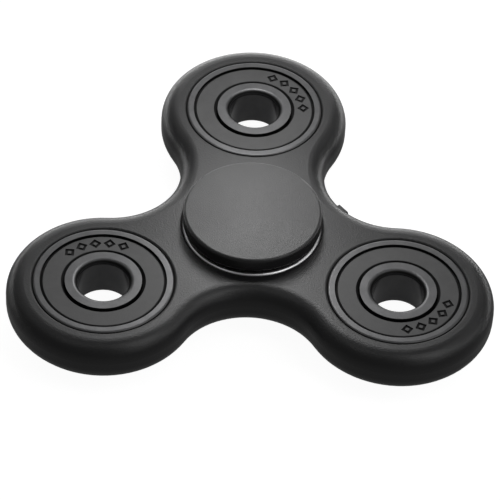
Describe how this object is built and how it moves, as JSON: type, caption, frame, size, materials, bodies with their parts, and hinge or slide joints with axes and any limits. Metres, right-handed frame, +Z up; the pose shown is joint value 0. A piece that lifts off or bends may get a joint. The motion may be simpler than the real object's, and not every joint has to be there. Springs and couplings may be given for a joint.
{
  "type": "fidget spinner",
  "caption": "Three-armed hand spinner: a tri-lobe plastic body on ball bearings, held between two round finger caps.",
  "frame": {"origin": "centre of the lower cap's flat outer face, on the spin axis; the object rests on this face", "axes": "+Z up the spin axis, from the lower cap to the upper cap; +Y towards arm 1; arms 2 and 3 follow anticlockwise seen from above"},
  "size_m": [0.0754, 0.0693, 0.0131],
  "materials": {
    "body_plastic": "satin black moulded ABS",
    "cap_plastic": "fine matt black moulded ABS",
    "black_steel": "black-oxide bearing steel, ground",
    "bright_steel": "ground and polished bearing steel",
    "shield_steel": "pressed sheet steel",
    "ball_steel": "lapped chrome steel",
    "cage_steel": "stamped soft steel",
    "rivet_steel": "headed steel wire",
    "seal_rubber": "matt black nitrile rubber"
  },
  "bodies": {
    "hub": {"cap_upper": "cap_plastic", "cap_lower": "cap_plastic", "hub_inner_ring": "bright_steel"},
    "spinner": {"tri_lobe_body": "body_plastic", "hub_outer_ring": "bright_steel", "hub_shield_upper": "shield_steel", "hub_shield_lower": "shield_steel", "arm_1_outer_ring": "black_steel", "arm_1_seal_upper": "seal_rubber", "arm_1_seal_lower": "seal_rubber", "arm_2_outer_ring": "black_steel", "arm_2_seal_upper": "seal_rubber", "arm_2_seal_lower": "seal_rubber", "arm_3_outer_ring": "black_steel", "arm_3_seal_upper": "seal_rubber", "arm_3_seal_lower": "seal_rubber"},
    "hub_cage": {"hub_cage_upper": "cage_steel", "hub_cage_lower": "cage_steel", "hub_cage_rivets": "rivet_steel"},
    "hub_ball_1": {"hub_ball_1": "ball_steel"},
    "hub_ball_2": {"hub_ball_2": "ball_steel"},
    "hub_ball_3": {"hub_ball_3": "ball_steel"},
    "hub_ball_4": {"hub_ball_4": "ball_steel"},
    "hub_ball_5": {"hub_ball_5": "ball_steel"},
    "hub_ball_6": {"hub_ball_6": "ball_steel"},
    "hub_ball_7": {"hub_ball_7": "ball_steel"},
    "arm_1_inner_ring": {"arm_1_inner_ring": "black_steel"},
    "arm_1_cage": {"arm_1_cage_upper": "cage_steel", "arm_1_cage_lower": "cage_steel", "arm_1_cage_rivets": "rivet_steel"},
    "arm_1_ball_1": {"arm_1_ball_1": "ball_steel"},
    "arm_1_ball_2": {"arm_1_ball_2": "ball_steel"},
    "arm_1_ball_3": {"arm_1_ball_3": "ball_steel"},
    "arm_1_ball_4": {"arm_1_ball_4": "ball_steel"},
    "arm_1_ball_5": {"arm_1_ball_5": "ball_steel"},
    "arm_1_ball_6": {"arm_1_ball_6": "ball_steel"},
    "arm_1_ball_7": {"arm_1_ball_7": "ball_steel"},
    "arm_2_inner_ring": {"arm_2_inner_ring": "black_steel"},
    "arm_2_cage": {"arm_2_cage_upper": "cage_steel", "arm_2_cage_lower": "cage_steel", "arm_2_cage_rivets": "rivet_steel"},
    "arm_2_ball_1": {"arm_2_ball_1": "ball_steel"},
    "arm_2_ball_2": {"arm_2_ball_2": "ball_steel"},
    "arm_2_ball_3": {"arm_2_ball_3": "ball_steel"},
    "arm_2_ball_4": {"arm_2_ball_4": "ball_steel"},
    "arm_2_ball_5": {"arm_2_ball_5": "ball_steel"},
    "arm_2_ball_6": {"arm_2_ball_6": "ball_steel"},
    "arm_2_ball_7": {"arm_2_ball_7": "ball_steel"},
    "arm_3_inner_ring": {"arm_3_inner_ring": "black_steel"},
    "arm_3_cage": {"arm_3_cage_upper": "cage_steel", "arm_3_cage_lower": "cage_steel", "arm_3_cage_rivets": "rivet_steel"},
    "arm_3_ball_1": {"arm_3_ball_1": "ball_steel"},
    "arm_3_ball_2": {"arm_3_ball_2": "ball_steel"},
    "arm_3_ball_3": {"arm_3_ball_3": "ball_steel"},
    "arm_3_ball_4": {"arm_3_ball_4": "ball_steel"},
    "arm_3_ball_5": {"arm_3_ball_5": "ball_steel"},
    "arm_3_ball_6": {"arm_3_ball_6": "ball_steel"},
    "arm_3_ball_7": {"arm_3_ball_7": "ball_steel"}
  },
  "joints": [
    {"name": "spinner_spin", "type": "hinge", "parent": "hub", "child": "spinner", "pos_m": [0, 0, 0.00655], "axis": [0, 0, 1], "continuous": true},
    {"name": "hub_cage_turn", "type": "hinge", "parent": "hub", "child": "hub_cage", "pos_m": [0, 0, 0.00655], "axis": [0, 0, 1], "continuous": true},
    {"name": "hub_ball_1_roll", "type": "hinge", "parent": "hub_cage", "child": "hub_ball_1", "pos_m": [0.0075, 0, 0.00655], "axis": [0, 0, 1], "continuous": true},
    {"name": "hub_ball_2_roll", "type": "hinge", "parent": "hub_cage", "child": "hub_ball_2", "pos_m": [0.00468, 0.00586, 0.00655], "axis": [0, 0, 1], "continuous": true},
    {"name": "hub_ball_3_roll", "type": "hinge", "parent": "hub_cage", "child": "hub_ball_3", "pos_m": [-0.00167, 0.00731, 0.00655], "axis": [0, 0, 1], "continuous": true},
    {"name": "hub_ball_4_roll", "type": "hinge", "parent": "hub_cage", "child": "hub_ball_4", "pos_m": [-0.00676, 0.00325, 0.00655], "axis": [0, 0, 1], "continuous": true},
    {"name": "hub_ball_5_roll", "type": "hinge", "parent": "hub_cage", "child": "hub_ball_5", "pos_m": [-0.00676, -0.00325, 0.00655], "axis": [0, 0, 1], "continuous": true},
    {"name": "hub_ball_6_roll", "type": "hinge", "parent": "hub_cage", "child": "hub_ball_6", "pos_m": [-0.00167, -0.00731, 0.00655], "axis": [0, 0, 1], "continuous": true},
    {"name": "hub_ball_7_roll", "type": "hinge", "parent": "hub_cage", "child": "hub_ball_7", "pos_m": [0.00468, -0.00586, 0.00655], "axis": [0, 0, 1], "continuous": true},
    {"name": "arm_1_inner_ring_spin", "type": "hinge", "parent": "spinner", "child": "arm_1_inner_ring", "pos_m": [0, 0.0262, 0.00655], "axis": [0, 0, 1], "continuous": true},
    {"name": "arm_1_cage_turn", "type": "hinge", "parent": "spinner", "child": "arm_1_cage", "pos_m": [0, 0.0262, 0.00655], "axis": [0, 0, 1], "continuous": true},
    {"name": "arm_1_ball_1_roll", "type": "hinge", "parent": "arm_1_cage", "child": "arm_1_ball_1", "pos_m": [0.0075, 0.0262, 0.00655], "axis": [0, 0, 1], "continuous": true},
    {"name": "arm_1_ball_2_roll", "type": "hinge", "parent": "arm_1_cage", "child": "arm_1_ball_2", "pos_m": [0.00468, 0.03206, 0.00655], "axis": [0, 0, 1], "continuous": true},
    {"name": "arm_1_ball_3_roll", "type": "hinge", "parent": "arm_1_cage", "child": "arm_1_ball_3", "pos_m": [-0.00167, 0.03351, 0.00655], "axis": [0, 0, 1], "continuous": true},
    {"name": "arm_1_ball_4_roll", "type": "hinge", "parent": "arm_1_cage", "child": "arm_1_ball_4", "pos_m": [-0.00676, 0.02945, 0.00655], "axis": [0, 0, 1], "continuous": true},
    {"name": "arm_1_ball_5_roll", "type": "hinge", "parent": "arm_1_cage", "child": "arm_1_ball_5", "pos_m": [-0.00676, 0.02295, 0.00655], "axis": [0, 0, 1], "continuous": true},
    {"name": "arm_1_ball_6_roll", "type": "hinge", "parent": "arm_1_cage", "child": "arm_1_ball_6", "pos_m": [-0.00167, 0.01889, 0.00655], "axis": [0, 0, 1], "continuous": true},
    {"name": "arm_1_ball_7_roll", "type": "hinge", "parent": "arm_1_cage", "child": "arm_1_ball_7", "pos_m": [0.00468, 0.02034, 0.00655], "axis": [0, 0, 1], "continuous": true},
    {"name": "arm_2_inner_ring_spin", "type": "hinge", "parent": "spinner", "child": "arm_2_inner_ring", "pos_m": [-0.02269, -0.0131, 0.00655], "axis": [0, 0, 1], "continuous": true},
    {"name": "arm_2_cage_turn", "type": "hinge", "parent": "spinner", "child": "arm_2_cage", "pos_m": [-0.02269, -0.0131, 0.00655], "axis": [0, 0, 1], "continuous": true},
    {"name": "arm_2_ball_1_roll", "type": "hinge", "parent": "arm_2_cage", "child": "arm_2_ball_1", "pos_m": [-0.01519, -0.0131, 0.00655], "axis": [0, 0, 1], "continuous": true},
    {"name": "arm_2_ball_2_roll", "type": "hinge", "parent": "arm_2_cage", "child": "arm_2_ball_2", "pos_m": [-0.01801, -0.00724, 0.00655], "axis": [0, 0, 1], "continuous": true},
    {"name": "arm_2_ball_3_roll", "type": "hinge", "parent": "arm_2_cage", "child": "arm_2_ball_3", "pos_m": [-0.02436, -0.00579, 0.00655], "axis": [0, 0, 1], "continuous": true},
    {"name": "arm_2_ball_4_roll", "type": "hinge", "parent": "arm_2_cage", "child": "arm_2_ball_4", "pos_m": [-0.02945, -0.00985, 0.00655], "axis": [0, 0, 1], "continuous": true},
    {"name": "arm_2_ball_5_roll", "type": "hinge", "parent": "arm_2_cage", "child": "arm_2_ball_5", "pos_m": [-0.02945, -0.01635, 0.00655], "axis": [0, 0, 1], "continuous": true},
    {"name": "arm_2_ball_6_roll", "type": "hinge", "parent": "arm_2_cage", "child": "arm_2_ball_6", "pos_m": [-0.02436, -0.02041, 0.00655], "axis": [0, 0, 1], "continuous": true},
    {"name": "arm_2_ball_7_roll", "type": "hinge", "parent": "arm_2_cage", "child": "arm_2_ball_7", "pos_m": [-0.01801, -0.01896, 0.00655], "axis": [0, 0, 1], "continuous": true},
    {"name": "arm_3_inner_ring_spin", "type": "hinge", "parent": "spinner", "child": "arm_3_inner_ring", "pos_m": [0.02269, -0.0131, 0.00655], "axis": [0, 0, 1], "continuous": true},
    {"name": "arm_3_cage_turn", "type": "hinge", "parent": "spinner", "child": "arm_3_cage", "pos_m": [0.02269, -0.0131, 0.00655], "axis": [0, 0, 1], "continuous": true},
    {"name": "arm_3_ball_1_roll", "type": "hinge", "parent": "arm_3_cage", "child": "arm_3_ball_1", "pos_m": [0.03019, -0.0131, 0.00655], "axis": [0, 0, 1], "continuous": true},
    {"name": "arm_3_ball_2_roll", "type": "hinge", "parent": "arm_3_cage", "child": "arm_3_ball_2", "pos_m": [0.02737, -0.00724, 0.00655], "axis": [0, 0, 1], "continuous": true},
    {"name": "arm_3_ball_3_roll", "type": "hinge", "parent": "arm_3_cage", "child": "arm_3_ball_3", "pos_m": [0.02102, -0.00579, 0.00655], "axis": [0, 0, 1], "continuous": true},
    {"name": "arm_3_ball_4_roll", "type": "hinge", "parent": "arm_3_cage", "child": "arm_3_ball_4", "pos_m": [0.01593, -0.00985, 0.00655], "axis": [0, 0, 1], "continuous": true},
    {"name": "arm_3_ball_5_roll", "type": "hinge", "parent": "arm_3_cage", "child": "arm_3_ball_5", "pos_m": [0.01593, -0.01635, 0.00655], "axis": [0, 0, 1], "continuous": true},
    {"name": "arm_3_ball_6_roll", "type": "hinge", "parent": "arm_3_cage", "child": "arm_3_ball_6", "pos_m": [0.02102, -0.02041, 0.00655], "axis": [0, 0, 1], "continuous": true},
    {"name": "arm_3_ball_7_roll", "type": "hinge", "parent": "arm_3_cage", "child": "arm_3_ball_7", "pos_m": [0.02737, -0.01896, 0.00655], "axis": [0, 0, 1], "continuous": true}
  ],
  "couplings": [
    {"joint": "hub_cage_turn", "follows": "spinner_spin", "ratio": 0.6323},
    {"joint": "hub_ball_1_roll", "follows": "spinner_spin", "ratio": 1.7573},
    {"joint": "hub_ball_2_roll", "follows": "spinner_spin", "ratio": 1.7573},
    {"joint": "hub_ball_3_roll", "follows": "spinner_spin", "ratio": 1.7573},
    {"joint": "hub_ball_4_roll", "follows": "spinner_spin", "ratio": 1.7573},
    {"joint": "hub_ball_5_roll", "follows": "spinner_spin", "ratio": 1.7573},
    {"joint": "hub_ball_6_roll", "follows": "spinner_spin", "ratio": 1.7573},
    {"joint": "hub_ball_7_roll", "follows": "spinner_spin", "ratio": 1.7573},
    {"joint": "arm_1_cage_turn", "follows": "arm_1_inner_ring_spin", "ratio": 0.3677},
    {"joint": "arm_1_ball_1_roll", "follows": "arm_1_inner_ring_spin", "ratio": -1.7573},
    {"joint": "arm_1_ball_2_roll", "follows": "arm_1_inner_ring_spin", "ratio": -1.7573},
    {"joint": "arm_1_ball_3_roll", "follows": "arm_1_inner_ring_spin", "ratio": -1.7573},
    {"joint": "arm_1_ball_4_roll", "follows": "arm_1_inner_ring_spin", "ratio": -1.7573},
    {"joint": "arm_1_ball_5_roll", "follows": "arm_1_inner_ring_spin", "ratio": -1.7573},
    {"joint": "arm_1_ball_6_roll", "follows": "arm_1_inner_ring_spin", "ratio": -1.7573},
    {"joint": "arm_1_ball_7_roll", "follows": "arm_1_inner_ring_spin", "ratio": -1.7573},
    {"joint": "arm_2_cage_turn", "follows": "arm_2_inner_ring_spin", "ratio": 0.3677},
    {"joint": "arm_2_ball_1_roll", "follows": "arm_2_inner_ring_spin", "ratio": -1.7573},
    {"joint": "arm_2_ball_2_roll", "follows": "arm_2_inner_ring_spin", "ratio": -1.7573},
    {"joint": "arm_2_ball_3_roll", "follows": "arm_2_inner_ring_spin", "ratio": -1.7573},
    {"joint": "arm_2_ball_4_roll", "follows": "arm_2_inner_ring_spin", "ratio": -1.7573},
    {"joint": "arm_2_ball_5_roll", "follows": "arm_2_inner_ring_spin", "ratio": -1.7573},
    {"joint": "arm_2_ball_6_roll", "follows": "arm_2_inner_ring_spin", "ratio": -1.7573},
    {"joint": "arm_2_ball_7_roll", "follows": "arm_2_inner_ring_spin", "ratio": -1.7573},
    {"joint": "arm_3_cage_turn", "follows": "arm_3_inner_ring_spin", "ratio": 0.3677},
    {"joint": "arm_3_ball_1_roll", "follows": "arm_3_inner_ring_spin", "ratio": -1.7573},
    {"joint": "arm_3_ball_2_roll", "follows": "arm_3_inner_ring_spin", "ratio": -1.7573},
    {"joint": "arm_3_ball_3_roll", "follows": "arm_3_inner_ring_spin", "ratio": -1.7573},
    {"joint": "arm_3_ball_4_roll", "follows": "arm_3_inner_ring_spin", "ratio": -1.7573},
    {"joint": "arm_3_ball_5_roll", "follows": "arm_3_inner_ring_spin", "ratio": -1.7573},
    {"joint": "arm_3_ball_6_roll", "follows": "arm_3_inner_ring_spin", "ratio": -1.7573},
    {"joint": "arm_3_ball_7_roll", "follows": "arm_3_inner_ring_spin", "ratio": -1.7573}
  ]
}
